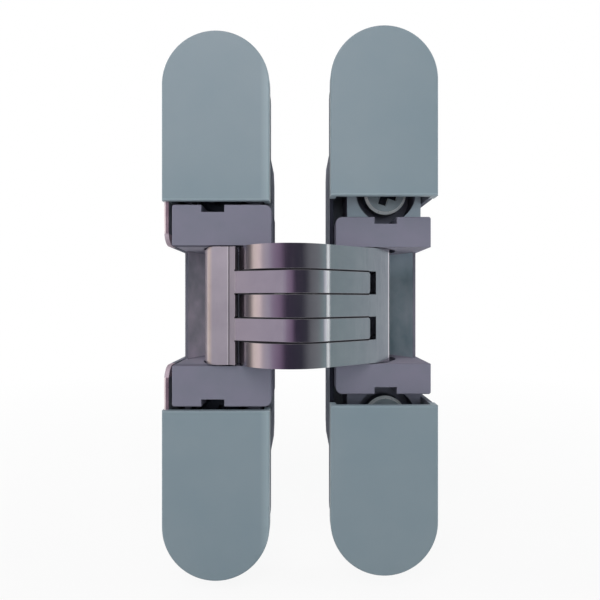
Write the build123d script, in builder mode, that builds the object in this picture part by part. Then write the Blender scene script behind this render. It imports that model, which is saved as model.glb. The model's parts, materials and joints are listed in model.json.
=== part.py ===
from build123d import *
from math import acos, atan2, cos, degrees, hypot, pi, radians, sin
import os

# Concealed door hinge, laid open at 180 degrees. Millimetres, +Z along the hinge, +Y into the door edge.
# The origin is the middle of the frame-side screw holes, in the plane of the wings' rear faces.

# Bodies
body_length = 111.25
body_width = 21.75
body_pitch = 34.1
housing_inset = 0.275
door_side_lift = 1.05

# Depths below the flush face of the caps
seat_depth = 3.0
wing_depth = 9.6
floor_depth = 19.2
box_depth = 23.0
rim_depth = 0.9

# Housing
side_wall = 0.9
box_half = 32.4
end_wall = 1.2
rear_taper = 2.4
wing_wall = 2.0
wing_web = 2.2
wing_step_half = 24.0
frame_inner_wall_depth = 14.0
door_inner_wall_depth = 8.0
window_depth = 17.6
frame_window_half = 12.4
door_window_half = 21.2
window_corner = 3.0

# Fixing screw holes in the wings
hole_radius = 2.25
sink_radius = 4.2
inner_hole_margin = 3.6
outer_hole_margin = 8.125
boss_radius = 3.6
boss_depth = 18.0

# Caps
cap_start = 21.2
cap_wall = 1.2
cap_edge = 0.4
cap_peg_width = 5.0
cap_peg_thick = 1.2
cap_peg_length = 3.0
cap_peg_gap = 0.15
cap_peg_offset = 7.6

# Linkage, as X from the mid plane and depth from the flush face
centre_pivot = (0.0, -1.0)
frame_pivot = (-9.5, 4.2)
door_pivot = (10.0, 5.9)
frame_slide = (-15.6, 4.2)
door_slide = (16.4, 8.8)
closed_gap = 4.0

# Arms
arm_height = 24.1
finger_height = 4.62
finger_pitch = 4.72
bar_height = 23.8
crest = (-1.0, -5.1)
bend = (5.3, -2.85)
web_end = (19.3, 5.96)
finger_tip = (14.6, 3.0)
flat_start = (-13.0, -0.7)
flat_end = (-3.3, -4.4)
roll_off = (-11.2, -0.9)
roll_side = (-12.35, 1.3)
flat_crest = (0.6, -4.95)
flat_root_depth = 1.4
tip_round = 0.7
root_overlap = 0.6
hub_radius = 3.1
centre_hub_radius = 4.2
bar_front = (-18.35, -14.4)
bar_side = -19.3
bar_bevel = 0.9
bar_proud = 0.2
bar_end_bevel = 0.7
bar_round = 2.5
web_inner_radius = 16.7
web_inner_end = 36.0
web_round = 2.6
web_edge_round = 0.8

# Pins and rollers
pivot_pin_radius = 1.5
centre_pin_radius = 2.5
slide_pin_radius = 1.5
pin_chamfer = 0.3
pin_end_gap = 0.5
roller_radius = 2.3
roller_length = 4.0
press_gap = 0.02
running_gap = 0.05
body_gap = 0.35
roller_start = 12.45

# Carriages
cheek_start = 12.25
floor_gap = 0.1
slot_gap = 0.55
slot_shares = (0.1, 0.58, 0.95)
slot_floor_gap = 0.6
frame_plate_depth = 0.5
door_plate_depth = 3.5
frame_plate_gap = 0.7
door_plate_gap = 2.6
frame_plate_overhang = 0.375
door_plate_overhang = -0.475
carriage_gap = 0.15
step_gap = 0.4
plate_inner_corner = 1.4
plate_outer_corner = 0.5
plate_edge = 0.3
notch_width = 4.7
notch_depth = 1.5
neck_lip = 0.6
neck_belly = 2.2
neck_toe = 5.0
frame_neck_depth = 11.2
door_neck_depth = 12.9
ear_front_depth = 8.0
ear_end_gap = 1.5
ear_side_gap = 0.3
door_ear_notch = 2.7

# Clamp screws and nuts
frame_clamp_x = -0.65
door_clamp_x = 1.8
frame_notch_x = -0.65
door_notch_x = 0.9
screw_head_gap = 0.3
screw_head_radius = 4.7
screw_head_height = 3.0
screw_head_chamfer = 0.7
screw_radius = 2.5
screw_seat_depth = 11.4
screw_seat_radius = 3.4
screw_pocket_radius = 6.55
screw_pocket_depth = 15.0
recess_length = 5.4
recess_width = 1.9
recess_depth = 1.7
recess_turn = -18.0
recess_taper = 12.0
nut_width = 8.0
nut_thick = 2.0
nut_corner = 0.5
nut_gap = 0.25
clamp_slot_gap = 0.3
frame_travel = (-0.6, 1.2)
height_reach = 1.5

# Places worked out from the values above
mid_x = body_pitch / 2
face_y = -wing_depth
housing_width = body_width - 2 * housing_inset
housing_length = body_length - 2 * housing_inset
trough_side = housing_width / 2 - side_wall
trough_end = box_half - end_wall
inner_hole_z = box_half + inner_hole_margin
outer_hole_z = body_length / 2 - outer_hole_margin
cap_peg_z = (inner_hole_z + outer_hole_z) / 2
roller_end = roller_start + roller_length
door_travel = (door_side_lift - height_reach, door_side_lift + height_reach)
ear_end = trough_end - height_reach - ear_end_gap
clamp_z = trough_end - height_reach - screw_head_radius - screw_head_gap
frame_plate_top = cap_start - frame_plate_gap
door_plate_top = cap_start - door_plate_gap
frame_low_span = (
    -trough_side - frame_travel[0] + carriage_gap,
    trough_side - frame_travel[1] - carriage_gap,
)
door_low_span = (-trough_side + carriage_gap, trough_side - carriage_gap)
frame_plate_span = (frame_low_span[0], body_width / 2 + frame_plate_overhang)
door_plate_span = (door_low_span[0], body_width / 2 + door_plate_overhang)
frame_ear_half = trough_side - frame_travel[1] - ear_side_gap
frame_ear_span = (-frame_ear_half, frame_ear_half)
door_ear_span = (-trough_side + ear_side_gap + door_ear_notch, trough_side - ear_side_gap)

os.makedirs("parts", exist_ok=True)


def save(piece, name):
    piece.part.label = name
    export_step(piece.part, f"parts/{name}.step")


def plan(z=0.0):
    """Plane seen from above: X from the mid plane, Y the depth from the flush face."""
    return Plane(origin=(mid_x, face_y, z))


def front(centre_x, depth, centre_z=0.0):
    """Plane seen from the front: X across one body, Y along Z. A negative extrude goes deeper."""
    return Plane(origin=(centre_x, face_y + depth, centre_z), x_dir=(1, 0, 0), z_dir=(0, -1, 0))


def turn(point, centre, angle):
    dx, dy = point[0] - centre[0], point[1] - centre[1]
    return (
        centre[0] + dx * cos(angle) - dy * sin(angle),
        centre[1] + dx * sin(angle) + dy * cos(angle),
    )


def on_circle(centre, radius, angle):
    return (centre[0] + radius * cos(radians(angle)), centre[1] + radius * sin(radians(angle)))


def bearing(start, end):
    return atan2(end[1] - start[1], end[0] - start[0])


def closing_turns():
    """Turns of the three arms' joints, in radians, from open to shut with the closed gap between faces."""
    shut_pivot = (-door_pivot[0], -closed_gap - door_pivot[1])
    frame_link = hypot(centre_pivot[0] - frame_pivot[0], centre_pivot[1] - frame_pivot[1])
    door_link = hypot(centre_pivot[0] - door_pivot[0], centre_pivot[1] - door_pivot[1])
    span = hypot(shut_pivot[0] - frame_pivot[0], shut_pivot[1] - frame_pivot[1])
    corner = acos((frame_link**2 + span**2 - door_link**2) / (2 * frame_link * span))
    shut_bearing = bearing(frame_pivot, shut_pivot) - corner
    shut_centre = (
        frame_pivot[0] + frame_link * cos(shut_bearing),
        frame_pivot[1] + frame_link * sin(shut_bearing),
    )
    frame_turn = (shut_bearing - bearing(frame_pivot, centre_pivot)) % (2 * pi) - 2 * pi
    two_turn = (bearing(shut_centre, shut_pivot) - bearing(centre_pivot, door_pivot)) % (2 * pi) - 2 * pi
    return frame_turn, two_turn - frame_turn, -pi - two_turn


frame_turn, centre_turn, door_turn = closing_turns()


def frame_slide_at(share):
    """Place of the frame-side slide pin in the frame-side carriage, at a share of the fold."""
    centre = turn(centre_pivot, frame_pivot, frame_turn * share)
    reach = turn(frame_slide, centre_pivot, (frame_turn + centre_turn) * share)
    return (reach[0] - centre_pivot[0] + centre[0], reach[1] - centre_pivot[1] + centre[1])


def door_slide_at(share):
    """Place of the door-side slide pin in the door-side carriage, at a share of the fold."""
    centre = turn(centre_pivot, frame_pivot, frame_turn * share)
    pivot = turn(door_pivot, centre_pivot, (frame_turn + centre_turn) * share)
    pivot = (pivot[0] - centre_pivot[0] + centre[0], pivot[1] - centre_pivot[1] + centre[1])
    slide = turn(door_slide, frame_pivot, frame_turn * share)
    back = turn(slide, pivot, -(frame_turn + centre_turn + door_turn) * share)
    return (back[0] - pivot[0] + door_pivot[0], back[1] - pivot[1] + door_pivot[1])


# Housings


def build_housing(centre_x, centre_z, out, inner_depth, window_half, clamp_x, travel_x, travel_z):
    """Trough with rounded wings. out is +1 or -1, the side away from the other body."""

    def at(depth):
        return front(centre_x, depth, centre_z)

    with BuildPart() as housing:
        with BuildSketch(at(seat_depth)):
            SlotOverall(housing_length, housing_width, rotation=90)
        extrude(amount=-(wing_depth - seat_depth))
        with BuildSketch(at(rim_depth)):
            Rectangle(housing_width, 2 * box_half)
        extrude(amount=-(box_depth - rim_depth))
        rear_ends = housing.edges().filter_by(Axis.X).group_by(Axis.Y)[-1]
        chamfer(rear_ends, rear_taper)
        # Screw bosses behind the wings
        with BuildSketch(at(wing_depth)):
            with Locations((0, inner_hole_z), (0, -inner_hole_z)):
                Circle(boss_radius)
        extrude(amount=-(boss_depth - wing_depth))
        # Hollow rear of each wing, around the screw bosses
        with BuildSketch(at(wing_depth)):
            SlotOverall(housing_length - 2 * wing_wall, housing_width - 2 * wing_wall, rotation=90)
            Rectangle(housing_width, 2 * (box_half + end_wall), mode=Mode.SUBTRACT)
            holes = (inner_hole_z, outer_hole_z, -inner_hole_z, -outer_hole_z)
            with Locations(*[(0, z) for z in holes]):
                Circle(boss_radius, mode=Mode.SUBTRACT)
        extrude(amount=wing_depth - seat_depth - wing_web, mode=Mode.SUBTRACT)
        # Trough for the carriage
        with BuildSketch(at(rim_depth)):
            Rectangle(2 * trough_side, 2 * trough_end)
        extrude(amount=-(floor_depth - rim_depth), mode=Mode.SUBTRACT)
        # Side walls drop to the cap seat under the caps
        with BuildSketch(at(rim_depth)):
            Rectangle(housing_width, 2 * box_half)
            Rectangle(housing_width, 2 * cap_start, mode=Mode.SUBTRACT)
        extrude(amount=-(seat_depth - rim_depth), mode=Mode.SUBTRACT)
        # Inner wall is low where the arms and the carriage pass
        with BuildSketch(at(rim_depth)):
            with Locations((-out * housing_width / 2, 0)):
                Rectangle(2 * side_wall, 2 * wing_step_half)
        extrude(amount=-(inner_depth - rim_depth), mode=Mode.SUBTRACT)
        # Window in the outer wall for the folded arms, rounded where it meets the rim
        outer_x = centre_x + out * housing_width / 2
        with BuildSketch(Plane(origin=(outer_x, face_y, centre_z), x_dir=(0, 1, 0), z_dir=(1, 0, 0))):
            with Locations((rim_depth, 0)):
                Rectangle(window_depth - rim_depth, 2 * window_half, align=(Align.MIN, Align.CENTER))
                Rectangle(window_corner, 2 * (window_half + window_corner), align=(Align.MIN, Align.CENTER))
            corner = (rim_depth + window_corner, window_half + window_corner)
            with Locations(corner, (corner[0], -corner[1])):
                Circle(window_corner, mode=Mode.SUBTRACT)
        extrude(amount=side_wall, both=True, mode=Mode.SUBTRACT)
        # Screw holes with countersinks
        with Locations(at(seat_depth)):
            with Locations(*[(0, z) for z in holes]):
                CounterSinkHole(hole_radius, sink_radius)
        # Slots for the clamp screws and pockets for their nuts, as long as the carriage travels
        nut_room = nut_width + 2 * nut_gap
        slot_room = 2 * (screw_radius + clamp_slot_gap)
        long_x, long_z = travel_x[1] - travel_x[0], travel_z[1] - travel_z[0]
        slot_x = clamp_x + sum(travel_x) / 2
        slot_z = sum(travel_z) / 2 - centre_z
        spots = [(slot_x, slot_z + end * clamp_z) for end in (-1, 1)]
        with BuildSketch(at(floor_depth)):
            with Locations(*spots):
                SlotOverall(slot_room + long_x + long_z, slot_room, rotation=90 if long_z else 0)
        extrude(amount=-(box_depth - floor_depth), mode=Mode.SUBTRACT)
        with BuildSketch(at(box_depth)):
            with Locations(*spots):
                Rectangle(nut_room + long_x, nut_room + long_z)
        extrude(amount=nut_thick + floor_gap, mode=Mode.SUBTRACT)
        # Slits for the snap pegs of the caps
        with BuildSketch(at(seat_depth)):
            with GridLocations(2 * cap_peg_offset, 2 * cap_peg_z, 2, 2):
                Rectangle(cap_peg_thick + 2 * cap_peg_gap, cap_peg_width + 2 * cap_peg_gap)
        extrude(amount=-(wing_depth - seat_depth), mode=Mode.SUBTRACT)
    return housing


fixed = (0.0, 0.0)
frame_housing = build_housing(
    0, 0, -1, frame_inner_wall_depth, frame_window_half, frame_clamp_x, frame_travel, fixed
)
save(frame_housing, "frame_housing")
door_housing = build_housing(
    body_pitch, door_side_lift, 1, door_inner_wall_depth, door_window_half, door_clamp_x, fixed, door_travel
)
save(door_housing, "door_housing")


# Cover caps, hollow and open behind and towards the arms, with two snap pegs each


def build_cap(centre_x, centre_z, end):
    """Cap over one wing. end is +1 for the upper wing and -1 for the lower."""
    cap_round = body_length / 2 - body_width / 2
    with BuildPart() as cap:
        with BuildSketch(front(centre_x, 0, centre_z)):
            with Locations((0, end * (cap_start + cap_round) / 2)):
                Rectangle(body_width, cap_round - cap_start)
            with Locations((0, end * cap_round)):
                Circle(body_width / 2)
        extrude(amount=-seat_depth)
        fillet(cap.edges().group_by(Axis.Y)[0], cap_edge)
        with BuildSketch(front(centre_x, seat_depth, centre_z)):
            with Locations((0, end * cap_round / 2)):
                Rectangle(body_width - 2 * cap_wall, cap_round)
            with Locations((0, end * cap_round)):
                Circle(body_width / 2 - cap_wall)
        extrude(amount=seat_depth - cap_wall, mode=Mode.SUBTRACT)
        with BuildSketch(front(centre_x, cap_wall, centre_z)):
            with Locations((-cap_peg_offset, end * cap_peg_z), (cap_peg_offset, end * cap_peg_z)):
                Rectangle(cap_peg_thick, cap_peg_width)
        extrude(amount=-(seat_depth - cap_wall + cap_peg_length))
    return cap


for side, centre_x, centre_z in (("frame", 0, 0), ("door", body_pitch, door_side_lift)):
    for place, end in (("top", 1), ("bottom", -1)):
        save(build_cap(centre_x, centre_z, end), f"{side}_cap_{place}")


# Carriages: two cheeks joined by a neck at the outer side, with an ear above and below


def build_carriage(
    centre_x,
    out,
    plate_depth,
    plate_top,
    span,
    low_span,
    step_depth,
    ear_span,
    clamp_x,
    notch_x,
    pivot,
    trace,
    neck_depth,
):
    """Casting that carries one end of each arm. step_depth is where it narrows to fit between the walls."""
    bottom = floor_depth - floor_gap
    neck_face = centre_x - mid_x + (low_span[1] if out > 0 else low_span[0])
    with BuildPart() as carriage:
        with BuildSketch(front(centre_x, plate_depth)) as plate:
            with Locations((sum(span) / 2, cheek_start)):
                Rectangle(span[1] - span[0], plate_top - cheek_start, align=(Align.CENTER, Align.MIN))
            top_corners = plate.vertices().group_by(Axis.Y)[-1].sort_by(Axis.X)
            fillet(top_corners[0 if out > 0 else -1], plate_inner_corner)
            outer_side = plate.vertices().group_by(Axis.X)[-1 if out > 0 else 0]
            fillet(outer_side.sort_by(Axis.Y)[-1], plate_outer_corner)
        extrude(amount=-(step_depth - plate_depth))
        fillet(carriage.faces().sort_by(Axis.Y)[0].edges().sort_by(Axis.Z)[1:], plate_edge)
        with BuildSketch(front(centre_x, step_depth)):
            with Locations((sum(low_span) / 2, cheek_start)):
                Rectangle(low_span[1] - low_span[0], plate_top - cheek_start, align=(Align.CENTER, Align.MIN))
        extrude(amount=-(bottom - step_depth))
        # Ear with a round pocket, and in it the seat and bore of the clamp screw
        with BuildSketch(front(centre_x, ear_front_depth)):
            with Locations((sum(ear_span) / 2, (ear_end + cheek_start) / 2)):
                Rectangle(ear_span[1] - ear_span[0], ear_end - cheek_start)
        extrude(amount=-(bottom - ear_front_depth))
        with BuildSketch(front(centre_x, ear_front_depth)):
            with Locations((clamp_x, clamp_z)):
                Circle(screw_pocket_radius)
            with Locations((clamp_x, plate_top)):
                Rectangle(body_width, body_width, align=(Align.CENTER, Align.MAX), mode=Mode.SUBTRACT)
            with Locations((clamp_x, clamp_z)):
                Circle(screw_head_radius + screw_head_gap)
        extrude(amount=-(screw_pocket_depth - ear_front_depth), mode=Mode.SUBTRACT)
        with BuildSketch(front(centre_x, screw_seat_depth)):
            with Locations((clamp_x, clamp_z)):
                Circle(screw_seat_radius)
        extrude(amount=-(screw_pocket_depth - screw_seat_depth))
        with BuildSketch(front(centre_x, plate_depth)):
            with Locations((notch_x, plate_top - notch_depth)):
                Rectangle(notch_width, 2 * notch_depth, align=(Align.CENTER, Align.MIN))
        extrude(amount=-(screw_seat_depth - plate_depth), mode=Mode.SUBTRACT)
        with BuildSketch(front(centre_x, screw_seat_depth)):
            with Locations((clamp_x, clamp_z)):
                Circle(screw_radius + running_gap)
        extrude(amount=-(bottom - screw_seat_depth), mode=Mode.SUBTRACT)
        # Bore of the pivot pin and the curved slot of the slide roller
        with BuildSketch(plan(cheek_start)):
            with Locations(pivot):
                Circle(pivot_pin_radius + running_gap)
        extrude(amount=plate_top - cheek_start, mode=Mode.SUBTRACT)
        with BuildSketch(plan(cheek_start)):
            with BuildLine(mode=Mode.PRIVATE) as path:
                guide = ThreePointArc(*[trace(share) for share in slot_shares], mode=Mode.PRIVATE)
                centre = (guide.arc_center.X, guide.arc_center.Y)
                start, end = [degrees(bearing(centre, trace(share))) for share in (0, 1)]
                CenterArc(centre, guide.radius, start, (end - start + 180) % 360 - 180)
            SlotArc(path.edge(), 2 * (roller_radius + slot_gap))
        extrude(amount=roller_end + slot_floor_gap - cheek_start, mode=Mode.SUBTRACT)
        mirror(about=Plane.XY)
        # Neck that joins the two cheeks, hollowed to let the folding arm end pass
        lip = (neck_face - out * neck_lip, neck_depth)
        belly = (neck_face - out * neck_belly, (neck_depth + bottom) / 2)
        toe = (neck_face - out * neck_toe, bottom)
        with BuildSketch(plan()):
            with BuildLine():
                Polyline(toe, (neck_face, bottom), (neck_face, neck_depth), lip)
                ThreePointArc(lip, belly, toe)
            make_face()
        extrude(amount=cheek_start, both=True)
    return carriage


frame_carriage = build_carriage(
    0,
    -1,
    frame_plate_depth,
    frame_plate_top,
    frame_plate_span,
    frame_low_span,
    frame_inner_wall_depth - step_gap,
    frame_ear_span,
    frame_clamp_x,
    frame_notch_x,
    frame_pivot,
    frame_slide_at,
    frame_neck_depth,
)
save(frame_carriage, "frame_carriage")
door_carriage = build_carriage(
    body_pitch,
    1,
    door_plate_depth,
    door_plate_top,
    door_plate_span,
    door_low_span,
    window_depth - step_gap,
    door_ear_span,
    door_clamp_x,
    door_notch_x,
    door_pivot,
    door_slide_at,
    door_neck_depth,
)
save(door_carriage, "door_carriage")


# Arms


def finger_levels(count):
    """Middle heights of one arm's fingers, with the other arm's fingers between them."""
    return [finger_pitch * (2 * i - count + 1) for i in range(count)]


def hub_round(centre, radius, start, middle, end):
    ThreePointArc(*[on_circle(centre, radius, angle) for angle in (start, middle, end)])


def three_finger_outline():
    """One finger from above: flat door half, round crest, hub on the frame-side pivot."""
    notch = pivot_pin_radius + body_gap
    hub_start = on_circle(frame_pivot, hub_radius, 190)
    hub_end = on_circle(frame_pivot, hub_radius, 5)
    neck_start = on_circle(centre_pivot, centre_hub_radius, 150)
    neck_end = on_circle(centre_pivot, centre_hub_radius, 45)
    notch_start = on_circle(door_pivot, notch, 240)
    notch_end = on_circle(door_pivot, notch, 345)
    web_root = on_circle(centre_pivot, web_inner_radius + root_overlap, 30)
    with BuildLine() as outline:
        Line(web_end, bend)
        ThreePointArc(bend, crest, roll_off)
        ThreePointArc(roll_off, roll_side, hub_start)
        hub_round(frame_pivot, hub_radius, 190, 95, 5)
        Line(hub_end, neck_start)
        hub_round(centre_pivot, centre_hub_radius, 150, 95, 45)
        Line(neck_end, notch_start)
        hub_round(door_pivot, notch, 240, 290, 345)
        Line(notch_end, web_root)
        Line(web_root, web_end)
    make_face(outline.edges())


def web_outline():
    """Full-height web at the door end of the three-finger arm, round about its slide pin."""
    slope = bearing(bend, web_end)
    run = hypot(bend[0] - centre_pivot[0], bend[1] - centre_pivot[1])
    lean = slope - bearing(centre_pivot, bend)
    along = -run * cos(lean) + (web_inner_radius**2 - (run * sin(lean)) ** 2) ** 0.5
    web_start = (bend[0] + along * cos(slope), bend[1] + along * sin(slope))
    start_angle = degrees(bearing(centre_pivot, web_start))
    inner_end = on_circle(centre_pivot, web_inner_radius, web_inner_end)
    middle = (start_angle + web_inner_end) / 2
    with BuildLine() as outline:
        Line(web_start, web_end)
        Line(web_end, on_circle(door_slide, web_round, 0))
        hub_round(door_slide, web_round, 0, 60, 120)
        Line(on_circle(door_slide, web_round, 120), inner_end)
        ThreePointArc(inner_end, on_circle(centre_pivot, web_inner_radius, middle), web_start)
    make_face(outline.edges())


def two_finger_outline():
    """One finger from above: flat frame half, crest, flat door half and hub on the door-side pivot."""
    root = (bar_front[1], flat_root_depth)
    with BuildLine() as outline:
        Line(root, flat_start)
        Line(flat_start, flat_end)
        ThreePointArc(flat_end, flat_crest, bend)
        Line(bend, finger_tip)
        Line(finger_tip, on_circle(door_pivot, hub_radius, 0))
        hub_round(door_pivot, hub_radius, 0, 90, 180)
        Line(on_circle(door_pivot, hub_radius, 180), on_circle(centre_pivot, centre_hub_radius, 50))
        hub_round(centre_pivot, centre_hub_radius, 50, 95, 150)
        Line(on_circle(centre_pivot, centre_hub_radius, 150), root)
    make_face(outline.edges())


def bar_outline():
    """Full-height slide bar at the frame end of the two-finger arm."""
    with BuildLine() as outline:
        Polyline(
            (bar_side, bar_bevel),
            (bar_front[0], -bar_proud),
            (bar_front[1], -bar_proud),
            (bar_front[1], 0),
            flat_start,
        )
        Line(flat_start, on_circle(frame_slide, bar_round, 0))
        hub_round(frame_slide, bar_round, 0, 90, 180)
        Line(on_circle(frame_slide, bar_round, 180), (bar_side, bar_bevel))
    make_face(outline.edges())


with BuildPart() as three_finger_arm:
    for level in finger_levels(3):
        with BuildSketch(plan(level)):
            three_finger_outline()
        extrude(amount=finger_height / 2, both=True)
    with BuildSketch(plan(2 * finger_pitch)):
        three_finger_outline()
    extrude(amount=arm_height / 2 - 2 * finger_pitch)
    mirror(about=Plane.XY)
    with BuildSketch(plan()):
        web_outline()
    extrude(amount=arm_height / 2, both=True)
    web_corner = (mid_x + web_end[0], face_y + web_end[1], 0)
    upright = three_finger_arm.edges().filter_by(Axis.Z)
    fillet(upright.sort_by_distance(web_corner)[0], web_edge_round)
    with BuildSketch(plan()):
        with Locations(frame_pivot):
            Circle(pivot_pin_radius + press_gap)
        with Locations(centre_pivot):
            Circle(centre_pin_radius + press_gap)
        with Locations(door_slide):
            Circle(slide_pin_radius + press_gap)
    extrude(amount=bar_height, both=True, mode=Mode.SUBTRACT)
save(three_finger_arm, "three_finger_arm")

with BuildPart() as two_finger_arm:
    for level in finger_levels(2):
        with BuildSketch(plan(level)):
            two_finger_outline()
        extrude(amount=finger_height / 2, both=True)
    hub_side = on_circle(door_pivot, hub_radius, 0)
    tip_x = mid_x + (finger_tip[0] + hub_side[0]) / 2
    tip_edges = two_finger_arm.edges().filter_by(Plane.XY)
    fillet(tip_edges.filter_by(lambda edge: abs(edge.center().X - tip_x) < tip_round / 10), tip_round)
    with BuildSketch(plan()):
        bar_outline()
    extrude(amount=bar_height / 2, both=True)
    ends = two_finger_arm.edges().filter_by(Plane.XY)
    bevel_x = mid_x + (bar_side + bar_front[0]) / 2
    chamfer(ends.filter_by(lambda edge: abs(edge.center().X - bevel_x) < bar_end_bevel / 10), bar_end_bevel)
    with BuildSketch(plan()):
        with Locations(door_pivot):
            Circle(pivot_pin_radius + press_gap)
        with Locations(centre_pivot):
            Circle(centre_pin_radius + running_gap)
        with Locations(frame_slide):
            Circle(slide_pin_radius + press_gap)
    extrude(amount=bar_height, both=True, mode=Mode.SUBTRACT)
save(two_finger_arm, "two_finger_arm")


# Pins and rollers


def build_pin(place, radius, half_length):
    with BuildPart() as pin:
        with BuildSketch(plan()):
            with Locations(place):
                Circle(radius)
        extrude(amount=half_length, both=True)
        chamfer(pin.edges().filter_by(GeomType.CIRCLE), pin_chamfer)
    return pin


def build_roller(place, start):
    """Slide roller on one end of a slide pin, from this height upwards."""
    with BuildPart() as roller:
        with BuildSketch(plan(start)):
            with Locations(place):
                Circle(roller_radius)
                Circle(slide_pin_radius + running_gap, mode=Mode.SUBTRACT)
        extrude(amount=roller_length)
        rims = roller.edges().filter_by(GeomType.CIRCLE).group_by(lambda edge: edge.radius)[-1]
        chamfer(rims, pin_chamfer)
    return roller


save(build_pin(frame_pivot, pivot_pin_radius, frame_plate_top - pin_end_gap), "frame_pivot_pin")
save(build_pin(door_pivot, pivot_pin_radius, door_plate_top - pin_end_gap), "door_pivot_pin")
save(build_pin(centre_pivot, centre_pin_radius, arm_height / 2), "centre_pin")
for side, place in (("frame", frame_slide), ("door", door_slide)):
    save(build_pin(place, slide_pin_radius, roller_end + pin_chamfer), f"{side}_slide_pin")
    save(build_roller(place, roller_start), f"{side}_slide_roller_top")
    save(build_roller(place, -roller_end), f"{side}_slide_roller_bottom")


# Clamp screws and nuts


def build_clamp_screw(x, z):
    head_depth = screw_seat_depth - screw_head_height
    with BuildPart() as screw:
        with BuildSketch(front(x, screw_seat_depth, z)):
            Circle(screw_head_radius)
        extrude(amount=screw_head_height)
        chamfer(screw.edges().sort_by(Axis.Y)[0], screw_head_chamfer)
        with BuildSketch(front(x, screw_seat_depth, z)):
            Circle(screw_radius)
        extrude(amount=-(box_depth - screw_seat_depth - pin_chamfer))
        with BuildSketch(front(x, head_depth, z)):
            Rectangle(recess_length, recess_width, rotation=recess_turn)
            Rectangle(recess_width, recess_length, rotation=recess_turn)
        extrude(amount=-recess_depth, taper=recess_taper, mode=Mode.SUBTRACT)
    return screw


def build_clamp_nut(x, z):
    with BuildPart() as nut:
        with BuildSketch(front(x, box_depth, z)):
            Rectangle(nut_width, nut_width)
            Circle(screw_radius + press_gap, mode=Mode.SUBTRACT)
        extrude(amount=nut_thick)
        chamfer(nut.edges().filter_by(Axis.Y), nut_corner)
    return nut


for side, x in (("frame", frame_clamp_x), ("door", body_pitch + door_clamp_x)):
    for place, z in (("top", clamp_z), ("bottom", -clamp_z)):
        save(build_clamp_screw(x, z), f"{side}_clamp_screw_{place}")
        save(build_clamp_nut(x, z), f"{side}_clamp_nut_{place}")
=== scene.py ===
import json
from collections import namedtuple
from math import atan, pi, radians

import bmesh
import bpy
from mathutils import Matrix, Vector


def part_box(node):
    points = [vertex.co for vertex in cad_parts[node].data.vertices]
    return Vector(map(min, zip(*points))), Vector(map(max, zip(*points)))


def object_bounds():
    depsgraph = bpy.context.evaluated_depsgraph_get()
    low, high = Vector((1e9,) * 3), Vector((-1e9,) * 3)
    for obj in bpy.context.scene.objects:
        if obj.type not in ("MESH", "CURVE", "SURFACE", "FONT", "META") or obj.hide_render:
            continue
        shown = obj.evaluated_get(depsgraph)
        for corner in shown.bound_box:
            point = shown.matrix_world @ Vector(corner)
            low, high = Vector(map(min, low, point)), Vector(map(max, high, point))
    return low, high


MM = 0.001
FAR = 1.0  # metres, past everything
WHITE = (1.0, 1.0, 1.0)

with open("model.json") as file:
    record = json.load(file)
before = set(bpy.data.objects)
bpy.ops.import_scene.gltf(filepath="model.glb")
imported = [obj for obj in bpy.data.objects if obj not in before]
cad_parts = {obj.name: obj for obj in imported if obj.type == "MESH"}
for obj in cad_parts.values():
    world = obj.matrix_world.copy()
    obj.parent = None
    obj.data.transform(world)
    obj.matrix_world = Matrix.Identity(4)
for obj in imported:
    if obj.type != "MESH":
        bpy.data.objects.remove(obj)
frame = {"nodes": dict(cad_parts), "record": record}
cad_low, cad_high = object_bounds()
scene = bpy.context.scene
scene.view_settings.view_transform = "Standard"

# The photograph is taken square to the caps, from about half way up the hinge
PHOTO_WIDTH = 120.9 * MM  # width seen at the face of the caps
CAMERA_DISTANCE = 90 * MM  # from the lens to the face of the caps
CAMERA_HEIGHT = 1.15 * MM
NEAREST_SEEN = 1 * MM

# Places on the part that no box gives
FINGER_PITCH = 4.72 * MM  # from one finger of the arms to the next
FRAME_NECK_FRONT = 1.6 * MM  # Y of the front edge of each carriage's neck
DOOR_NECK_FRONT = 3.3 * MM
EAR_FRONT = -1.6 * MM  # Y of the front faces of the carriages' ears and of the door housing's low wall
EAR_START = 17 * MM  # height where the ears begin, past the carriages' plates

cap_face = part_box("frame_cap_top")[0][1]
left_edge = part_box("frame_cap_top")[0][0]
right_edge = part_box("door_cap_top")[1][0]
middle_x = (left_edge + right_edge) / 2


# Shader building

EVEN = (1.0, 1.0, 1.0)
ALONG_Z = (1.0, 1.0, 0.06)  # draws the grain out along the hinge
NOISE_LOW = 0.3  # nearly all of a noise lies between these two
NOISE_HIGH = 0.7
NOISE_ROUGHNESS = 0.55


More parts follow.
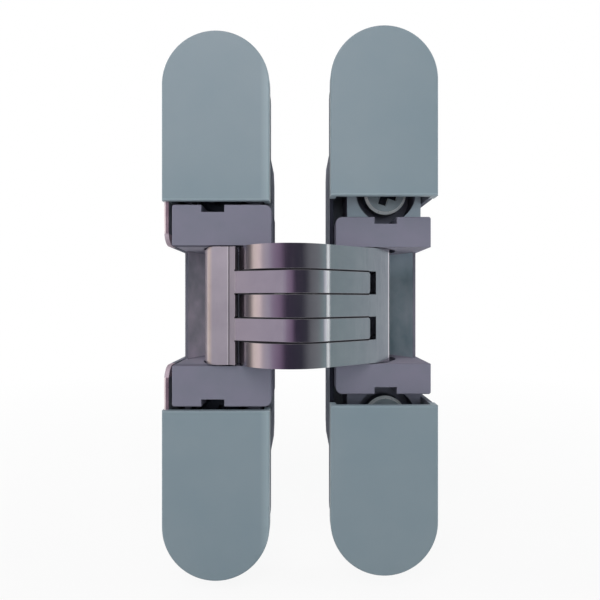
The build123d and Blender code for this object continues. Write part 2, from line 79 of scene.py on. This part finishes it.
class Nodes:
    """A node tree, with short calls for the nodes used here."""

    def __init__(self, tree):
        self.tree = tree
        tree.nodes.clear()

    def add(self, kind, **inputs):
        node = self.tree.nodes.new(kind)
        for name, value in inputs.items():
            self.feed(node.inputs[name], value)
        return node

    def feed(self, socket, value):
        """Links another node's output to a socket, or sets a number, colour or place on it."""
        if isinstance(value, bpy.types.NodeSocket):
            self.tree.links.new(value, socket)
        else:
            socket.default_value = value

    def coords(self, stretch=EVEN):
        """Object coordinates, stretched by a scale for each axis."""
        place = self.add("ShaderNodeTexCoord")
        mapping = self.add("ShaderNodeMapping", Vector=place.outputs["Object"], Scale=stretch)
        return mapping.outputs["Vector"]

    def noise(self, scale, detail, stretch=EVEN):
        node = self.add(
            "ShaderNodeTexNoise",
            Vector=self.coords(stretch),
            Scale=scale,
            Detail=detail,
            Roughness=NOISE_ROUGHNESS,
        )
        return node.outputs["Fac"]

    def span(self, value, start, end, low, high):
        """Straight change from low to high as the value goes from start to end."""
        node = self.add("ShaderNodeMapRange", Value=value)
        for name, setting in (("From Min", start), ("From Max", end), ("To Min", low), ("To Max", high)):
            node.inputs[name].default_value = setting
        return node.outputs["Result"]

    def math(self, operation, first, second):
        node = self.add("ShaderNodeMath")
        node.operation = operation
        self.feed(node.inputs[0], first)
        self.feed(node.inputs[1], second)
        return node.outputs["Value"]

    def mix_number(self, share, first, second):
        node = self.add("ShaderNodeMix", Factor=share, A=first, B=second)
        return node.outputs["Result"]

    def mix_colour(self, share, first, second):
        node = self.add("ShaderNodeMix")
        node.data_type = "RGBA"
        self.feed(node.inputs["Factor"], share)
        ends = [socket for socket in node.inputs if socket.type == "RGBA"]
        self.feed(ends[0], first)
        self.feed(ends[1], second)
        return next(socket for socket in node.outputs if socket.type == "RGBA")

    def ramp(self, value, stops):
        node = self.add("ShaderNodeValToRGB", Fac=value)
        elements = node.color_ramp.elements
        while len(elements) < len(stops):
            elements.new(0.5)
        for element, (place, colour) in zip(elements, stops):
            element.position = place
            element.color = (*colour, 1.0)
        return node.outputs["Color"]

    def mottle(self, noise, dark, light):
        """Colour that goes from dark to light over the range of a noise."""
        return self.ramp(noise, [(NOISE_LOW, dark), (NOISE_HIGH, light)])


def from_srgb(screen_colour):
    """Linear colour of a screen colour given as 0 to 255."""

    def linear(value):
        share = value / 255
        return share / 12.92 if share <= 0.04045 else ((share + 0.055) / 1.055) ** 2.4

    return tuple(linear(value) for value in screen_colour)


def new_material(name):
    material = bpy.data.materials.new(name)
    material.use_nodes = True
    return material, Nodes(material.node_tree)


# Finishes

# The two ends of a finish's mottled colour on screen, its roughness and how metallic it is
Finish = namedtuple("Finish", "dark light roughness metallic")
# A change of finish: the slabs that it lies in, the finish there and half the width of its soft edge
Patch = namedtuple("Patch", "slabs finish edge")

GRAIN_DEPTH = 0.01 * MM
SMOOTHER = 0.04  # how far the grain takes the roughness below and above the finish's own
ROUGHER = 0.05
SURFACE_IOR = 1.45


def slab_mask(nodes, slabs, edge):
    """1 inside every slab and 0 outside. A slab is an axis with a low and a high place along it, where
    the axis "finger" is the height from the middle of the nearest finger."""
    place = nodes.add("ShaderNodeTexCoord")
    split = nodes.add("ShaderNodeSeparateXYZ", Vector=place.outputs["Object"])
    mask = 1.0
    for axis, low, high in slabs:
        if axis == "finger":
            along = nodes.math("PINGPONG", split.outputs["Z"], FINGER_PITCH / 2)
        else:
            along = split.outputs[axis]
        rise = nodes.span(along, low - edge, low + edge, 0.0, 1.0)
        fall = nodes.span(along, high - edge, high + edge, 1.0, 0.0)
        mask = nodes.math("MULTIPLY", mask, nodes.math("MULTIPLY", rise, fall))
    return mask


def surface(name, finish, patches=(), stretch=EVEN, grain=2200, clouds=160, relief=0.08, specular=0.5):
    """Mottled finish with a fine grain and patches of other finishes, the later ones on top. Grain and
    clouds are scales of noise."""
    material, nodes = new_material(name)
    cloudy = nodes.noise(clouds, detail=3)
    grainy = nodes.noise(grain, detail=4, stretch=stretch)

    def tint_and_gloss(of):
        tint = nodes.mottle(cloudy, from_srgb(of.dark), from_srgb(of.light))
        low = of.roughness - SMOOTHER
        high = of.roughness + ROUGHER
        return tint, nodes.span(grainy, NOISE_LOW, NOISE_HIGH, low, high)

    tint, gloss = tint_and_gloss(finish)
    metal = finish.metallic
    one_metal = all(patch.finish.metallic == metal for patch in patches)
    for patch in patches:
        mask = slab_mask(nodes, patch.slabs, patch.edge)
        patch_tint, patch_gloss = tint_and_gloss(patch.finish)
        tint = nodes.mix_colour(mask, tint, patch_tint)
        gloss = nodes.mix_number(mask, gloss, patch_gloss)
        if not one_metal:
            metal = nodes.mix_number(mask, metal, patch.finish.metallic)
    skin = nodes.add("ShaderNodeBump", Height=grainy, Strength=relief, Distance=GRAIN_DEPTH)
    inputs = {
        "Base Color": tint,
        "Metallic": metal,
        "Roughness": gloss,
        "Normal": skin.outputs["Normal"],
        "IOR": SURFACE_IOR,
        "Specular IOR Level": specular,
    }
    shader = nodes.add("ShaderNodeBsdfPrincipled", **inputs)
    nodes.add("ShaderNodeOutputMaterial", Surface=shader.outputs["BSDF"])
    return material


cap_paint = Finish((121, 138, 147), (127, 142, 150), 0.5, 0.0)
# Painted light: a lighter tone on the lower edge of the upper caps, where the rounded edge faces down
# into shade
cap_fillet_painted_light = Finish((146, 163, 172), (154, 169, 177), 0.45, 0.0)
# Painted light: a lighter tone on the inner side of the frame side's caps, standing in for light on that
# side
cap_flank_painted_light = Finish((138, 155, 163), (146, 162, 170), 0.5, 0.0)

carriage_paint = Finish((116, 118, 132), (122, 121, 137), 0.45, 0.0)
# Painted light: the neck is far lighter than the plates, to offset the shade in its recess
neck_painted_light = Finish((170, 172, 184), (220, 210, 226), 0.4, 0.2)
# Painted light: the door side's neck, lighter and cooler for the same reason
door_neck_painted_light = Finish((132, 152, 162), (166, 178, 188), 0.4, 0.2)
# Painted light: still lighter at the top of the door side's neck
neck_crown_painted_light = Finish((190, 210, 222), (206, 222, 234), 0.4, 0.2)
lip_paint = Finish((98, 100, 112), (112, 110, 122), 0.5, 0.0)
# Painted light: the cheeks' faces beside the neck are lighter to offset the shade on them, the
# undersides most
painted_light_top_cheek = Finish((136, 136, 150), (148, 146, 162), 0.5, 0.0)
painted_light_under_cheek = Finish((164, 164, 178), (178, 176, 192), 0.5, 0.0)
# Painted light: a lighter tone on the upper ears, which lie in the caps' shade
ear_painted_light = Finish((158, 170, 182), (168, 180, 192), 0.5, 0.0)

drawn_steel = Finish((190, 186, 191), (202, 198, 201), 0.17, 1.0)
blasted_steel = Finish((168, 161, 172), (180, 173, 183), 0.5, 0.5)
worn_strip = Finish((144, 139, 149), (158, 152, 161), 0.5, 0.5)
# Painted highlight along the rounded left edge of the slide bar
painted_highlight_bar_rounding = Finish((188, 172, 168), (206, 192, 186), 0.5, 0.4)
# Painted highlight along the bend of the arms
painted_highlight_bend = Finish((230, 234, 236), (244, 246, 248), 0.45, 0.1)
# Painted highlight on one side of the slide bar's step
painted_highlight_step = Finish((190, 186, 194), (206, 202, 208), 0.5, 0.3)
# Painted shade on the slide bar's left side and beside its step
painted_shade_steel = Finish((112, 105, 114), (130, 122, 131), 0.5, 0.3)
# Painted shade on the fingers along the gaps between them
painted_shade_gap = Finish((22, 22, 28), (34, 33, 40), 0.6, 0.0)
pin_steel = Finish((170, 170, 172), (190, 190, 190), 0.2, 1.0)

dull_casting = Finish((116, 120, 131), (130, 134, 145), 0.85, 0.0)
# Painted shade on the top of the door side's low wall, standing in for the dark gap behind it
painted_shade_wall = Finish((36, 38, 48), (46, 48, 58), 0.85, 0.0)
worn_casting = Finish((150, 128, 138), (200, 180, 188), 0.3, 0.8)
worn_corner = Finish((168, 152, 164), (196, 182, 192), 0.5, 0.1)
# Painted highlight along the front rim's outer edge
painted_highlight_rim = Finish((232, 214, 216), (250, 240, 240), 0.4, 0.2)

zinc_plate = Finish((132, 140, 148), (158, 166, 172), 0.42, 0.5)
zinc_face = Finish((160, 174, 182), (176, 188, 196), 0.4, 0.4)
# Painted highlight on the edge of the screw heads
painted_highlight_zinc = Finish((226, 232, 236), (248, 250, 252), 0.3, 0.3)
# Painted shade in the screws' recesses and over the frame side's heads
painted_shade_zinc = Finish((40, 44, 54), (58, 62, 72), 0.45, 0.3)


# Where the finish changes


def between(axis, place, start, end):
    """Slab between two distances from a place, in millimetres along an axis."""
    return axis, place + start * MM, place + end * MM


def up_to(axis, place, distance=0.0):
    return axis, -FAR, place + distance * MM


def beyond(axis, place, distance=0.0):
    return axis, place + distance * MM, FAR


arm_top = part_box("three_finger_arm")[1][2]
arm_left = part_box("three_finger_arm")[0][0]
bar_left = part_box("two_finger_arm")[0][0]
arm_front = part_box("three_finger_arm")[0][1]
rim_left, rim_front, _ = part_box("frame_housing")[0]
plate_front = max(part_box(name)[0][1] for name in ("frame_carriage", "door_carriage"))
screw_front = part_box("door_clamp_screw_top")[0][1]
frame_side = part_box("frame_housing")[1][0]
door_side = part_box("door_housing")[0][0]
frame_half = up_to("X", middle_x)
door_half = beyond("X", middle_x)
ear_faces = between("Y", EAR_FRONT, -0.1, 0.1)

# Arms: the slide bar and its strip, with a painted highlight along the bar's left edge, painted shade on
# its left side and a painted highlight and a line of painted shade either side of its step; a painted
# highlight along the bend; and painted shade on the fingers along the gaps
bar_end = arm_left - 0.4 * MM
bar_step = middle_x - 14.42 * MM
bar = up_to("X", bar_end)
bar_strip = ("X", bar_step, bar_end)
bar_edge = between("X", bar_left, 0.55, 1.4)
bar_side = up_to("X", bar_left, 0.45)
step_highlight = between("X", bar_step, -0.18, 0.0)
step_shade = between("X", bar_step, 0.0, 0.17)
bend_line = [between("X", middle_x, 5.35, 5.75), up_to("Y", arm_front, 2.8)]
finger_gap_shading = [
    beyond("finger", FINGER_PITCH / 2, -0.18),
    between("X", middle_x, -13.15, 14.4),
    ("Z", -2 * FINGER_PITCH, 2 * FINGER_PITCH),
]
arm_patches = [
    Patch([bar], blasted_steel, 0.1 * MM),
    Patch([bar_strip], worn_strip, 0.1 * MM),
    Patch([bar_edge], painted_highlight_bar_rounding, 0.3 * MM),
    Patch([bar_side], painted_shade_steel, 0.15 * MM),
    Patch([step_highlight], painted_highlight_step, 0.08 * MM),
    Patch([step_shade], painted_shade_steel, 0.08 * MM),
    Patch(bend_line, painted_highlight_bend, 0.32 * MM),
    Patch(finger_gap_shading, painted_shade_gap, 0.03 * MM),
]

# Screws: painted shade in the recess, a painted highlight on the edge, and the face of the heads. The
# frame side's heads are painted dark all over as shade
head_recess = between("Y", screw_front, 0.65, 4)
head_edge = between("Y", screw_front, 0.06, 0.65)
head_face = up_to("Y", screw_front, 0.06)
frame_heads = [frame_half, up_to("Y", screw_front, 4)]
screw_patches = [
    Patch([head_recess], painted_shade_zinc, 0.02 * MM),
    Patch([head_edge], painted_highlight_zinc, 0.02 * MM),
    Patch([head_face], zinc_face, 0.02 * MM),
    Patch(frame_heads, painted_shade_zinc, 0.02 * MM),
]

# Caps: painted light on the inner side of the frame side's caps and on the lower edge of the two upper
# caps
inner_side = ("X", frame_side - 0.8 * MM, middle_x)
cap_patches = [Patch([inner_side], cap_flank_painted_light, 0.8 * MM)]
for name in ("frame_cap_top", "door_cap_top"):
    low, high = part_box(name)
    lower_edge = [("X", low[0], high[0]), between("Z", low[2], -0.3, 0.35)]
    cap_patches.append(Patch(lower_edge, cap_fillet_painted_light, 0.15 * MM))

# Housings: painted shade on the top of the door side's low wall, the front rim with a painted highlight
# along its edge, and two worn corners
low_wall = [between("X", door_side, 0.05, 1), ear_faces]
rim = up_to("Y", rim_front, 0.3)
rim_line = [rim, up_to("X", rim_left, 0.3)]
housing_patches = [
    Patch(low_wall, painted_shade_wall, 0.03 * MM),
    Patch([rim], worn_casting, 0.05 * MM),
    Patch(rim_line, painted_highlight_rim, 0.08 * MM),
]
for heights in (between("Z", -arm_top, -2.6, -0.2), between("Z", arm_top, 0.2, 2.6)):
    corner = [heights, up_to("X", rim_left, 1.2), up_to("Y", rim_front, 5)]
    housing_patches.append(Patch(corner, worn_corner, 0.1 * MM))

# Carriages: painted light on the neck between the cheeks, more on the door side's neck and most at its
# top; its front lip; painted light on the cheeks' faces beside it; and painted light on the upper ears
neck_end = arm_top + 0.1 * MM
neck = ("Z", -neck_end, neck_end)
past_neck = beyond("Z", neck_end)
door_neck_top = [door_half, beyond("Z", arm_top, -3.6)]
upper_ears = [door_half, ear_faces, beyond("Z", EAR_START)]
frame_lip = [neck, frame_half, up_to("Y", FRAME_NECK_FRONT, 0.05)]
door_lip = [neck, door_half, up_to("Y", DOOR_NECK_FRONT, 0.05)]
behind_plates = beyond("Y", plate_front, 0.4)
cheek_under = [between("Z", neck_end, 0.0, 0.25), behind_plates]
cheek_top = [between("Z", -neck_end, -0.25, 0.0), behind_plates]
carriage_patches = [
    Patch([neck], neck_painted_light, 0.05 * MM),
    Patch([neck, door_half], door_neck_painted_light, 0.05 * MM),
    Patch(door_neck_top, neck_crown_painted_light, 2.6 * MM),
    Patch([past_neck], carriage_paint, 0.05 * MM),
    Patch(upper_ears, ear_painted_light, 0.03 * MM),
    Patch(frame_lip, lip_paint, 0.02 * MM),
    Patch(door_lip, lip_paint, 0.02 * MM),
    Patch(cheek_under, painted_light_under_cheek, 0.02 * MM),
    Patch(cheek_top, painted_light_top_cheek, 0.02 * MM),
]

materials = {
    "cap": surface("cap_paint", cap_paint, cap_patches, grain=2600, clouds=60, relief=0.12),
    "carriage": surface("carriage_paint", carriage_paint, carriage_patches, relief=0.12, specular=0.0),
    "housing": surface("housing_casting", dull_casting, housing_patches, grain=1500, specular=0.03),
    "arm": surface("arm_steel", drawn_steel, arm_patches, ALONG_Z, grain=3200, relief=0.05),
    "pin": surface("pin_steel", pin_steel, stretch=ALONG_Z, grain=3000),
    "screw": surface("screw_zinc", zinc_plate, screw_patches),
}

for part in frame["record"]["subparts"]:
    node = frame["nodes"][part["node"]]
    node.data.materials.clear()
    node.data.materials.append(materials[part["material_slot"]])


# Stage: a pale floor under the hinge and a white surround

FLOOR_GAP = 2 * MM  # from the floor to the lowest point of the hinge
FLOOR_REACH = 1.5  # metres to each side
PAPER_DARK = (0.66, 0.66, 0.66)
PAPER_LIGHT = (0.7, 0.7, 0.7)
PAPER_CLOUDS = 40  # scale of noise
SHADOW_NEAR = 0.06  # metres from the hinge's foot, up to which the shadow shows most
SHADOW_FAR = 0.3  # metres from the hinge's foot, past which the camera sees only white
SHADOW_WHITE = 0.9  # share of plain white where the shadow shows most


def floor_paper(foot):
    """Paper that the camera sees as white, with a soft shadow near the hinge's foot."""
    material, nodes = new_material("floor_paper")
    paper = nodes.mottle(nodes.noise(PAPER_CLOUDS, detail=2), PAPER_DARK, PAPER_LIGHT)
    matt = nodes.add("ShaderNodeBsdfDiffuse", Color=paper)
    white = nodes.add("ShaderNodeEmission", Color=(*WHITE, 1.0), Strength=1.0)
    away = nodes.add("ShaderNodeVectorMath")
    away.operation = "DISTANCE"
    nodes.feed(away.inputs[0], nodes.coords())
    nodes.feed(away.inputs[1], foot)
    share = nodes.span(away.outputs["Value"], SHADOW_NEAR, SHADOW_FAR, SHADOW_WHITE, 1.0)
    path = nodes.add("ShaderNodeLightPath")
    seen = nodes.math("MULTIPLY", path.outputs["Is Camera Ray"], share)
    mix = nodes.add("ShaderNodeMixShader", Fac=seen)
    nodes.feed(mix.inputs[1], matt.outputs["BSDF"])
    nodes.feed(mix.inputs[2], white.outputs["Emission"])
    nodes.add("ShaderNodeOutputMaterial", Surface=mix.outputs["Shader"])
    return material


def floor():
    foot = (middle_x, 0.0, cad_low[2] - FLOOR_GAP)
    sheet = bmesh.new()
    bmesh.ops.create_grid(sheet, x_segments=1, y_segments=1, size=FLOOR_REACH)
    bmesh.ops.translate(sheet, vec=foot, verts=sheet.verts)
    mesh = bpy.data.meshes.new("floor")
    sheet.to_mesh(mesh)
    sheet.free()
    plane = bpy.data.objects.new("floor", mesh)
    scene.collection.objects.link(plane)
    plane.data.materials.append(floor_paper(foot))
    plane.visible_glossy = False


# What bare metal mirrors at each bearing, in degrees to the right of the way to the camera
ROOM = (
    (-180, WHITE),
    (-125, WHITE),
    (-108, (0.25, 0.24, 0.26)),
    (-92, (0.12, 0.11, 0.13)),
    (-84, (0.3, 0.26, 0.25)),
    (-76, (1.0, 0.86, 0.8)),
    (-62, (0.95, 0.8, 0.8)),
    (-55, (0.55, 0.49, 0.55)),
    (-44, (0.5, 0.46, 0.56)),
    (-34, (0.34, 0.27, 0.38)),
    (-20, (0.24, 0.17, 0.27)),
    (-10, (0.05, 0.04, 0.07)),
    (22, (0.05, 0.05, 0.07)),
    (36, (0.18, 0.19, 0.21)),
    (55, (0.24, 0.26, 0.28)),
    (63, (0.26, 0.32, 0.33)),
    (70, (0.28, 0.38, 0.4)),
    (76, (0.34, 0.39, 0.43)),
    (80, (0.9, 0.95, 1.0)),
    (90, (0.9, 0.95, 1.0)),
    (110, WHITE),
    (180, WHITE),
)
ROOM_GLOW = (0.16, 0.18, 0.18, 1.0)  # what lights matt surfaces from all round, besides the lamps


def surround():
    """White to the camera, and a room of pale and dark screens that bare metal mirrors."""
    world = bpy.data.worlds.new("studio")
    world.use_nodes = True
    scene.world = world
    nodes = Nodes(world.node_tree)
    place = nodes.add("ShaderNodeTexCoord")
    split = nodes.add("ShaderNodeSeparateXYZ", Vector=place.outputs["Generated"])
    forward = nodes.math("MULTIPLY", split.outputs["Y"], -1.0)
    bearing = nodes.math("ARCTAN2", split.outputs["X"], forward)
    share = nodes.span(bearing, -pi, pi, 0.0, 1.0)
    room = nodes.ramp(share, [((angle + 180) / 360, colour) for angle, colour in ROOM])
    path = nodes.add("ShaderNodeLightPath")
    mirrored = nodes.mix_colour(path.outputs["Is Glossy Ray"], ROOM_GLOW, room)
    seen = nodes.mix_colour(path.outputs["Is Camera Ray"], mirrored, (*WHITE, 1.0))
    shine = nodes.add("ShaderNodeBackground", Color=seen, Strength=1.0)
    nodes.add("ShaderNodeOutputWorld", Surface=shine.outputs["Background"])


# Square lamps: place in metres from the middle of the hinge's width, turn in degrees about X, Y and Z,
# length of a side in metres, and whether metal mirrors them
Lamp = namedtuple("Lamp", "name place turn side watts colour mirrored")
LAMPS = (
    Lamp("key", (-0.05, -0.2, 0.22), (43, 0, -14), 0.2, 0.45, (1.0, 0.9, 0.9), True),
    Lamp("fill", (0.0, -0.45, 0.0), (90, 0, 0), 0.3, 0.96, (0.95, 1.0, 1.0), False),
    Lamp("back", (0.0, 0.45, 0.1), (78, 0, 180), 0.3, 1.5, WHITE, False),
    Lamp("left", (-0.45, 0.0, 0.1), (78, 0, -90), 0.3, 1.1, WHITE, False),
    Lamp("right", (0.45, 0.0, 0.1), (78, 0, 90), 0.3, 1.1, WHITE, False),
)


def softbox(lamp):
    light = bpy.data.lights.new(lamp.name, "AREA")
    light.shape = "SQUARE"
    light.size = lamp.side
    light.energy = lamp.watts
    light.color = lamp.colour
    holder = bpy.data.objects.new(lamp.name, light)
    across, along, up = lamp.place
    holder.location = (middle_x + across, along, up)
    holder.rotation_euler = [radians(angle) for angle in lamp.turn]
    holder.visible_glossy = lamp.mirrored
    scene.collection.objects.link(holder)


def camera():
    lens = bpy.data.cameras.new("camera")
    lens.angle = 2 * atan(PHOTO_WIDTH / 2 / CAMERA_DISTANCE)
    lens.clip_start = NEAREST_SEEN
    holder = bpy.data.objects.new("camera", lens)
    holder.location = (middle_x, cap_face - CAMERA_DISTANCE, CAMERA_HEIGHT)
    holder.rotation_euler = (radians(90), 0, 0)
    scene.collection.objects.link(holder)
    scene.camera = holder


floor()
surround()
camera()
for lamp in LAMPS:
    softbox(lamp)
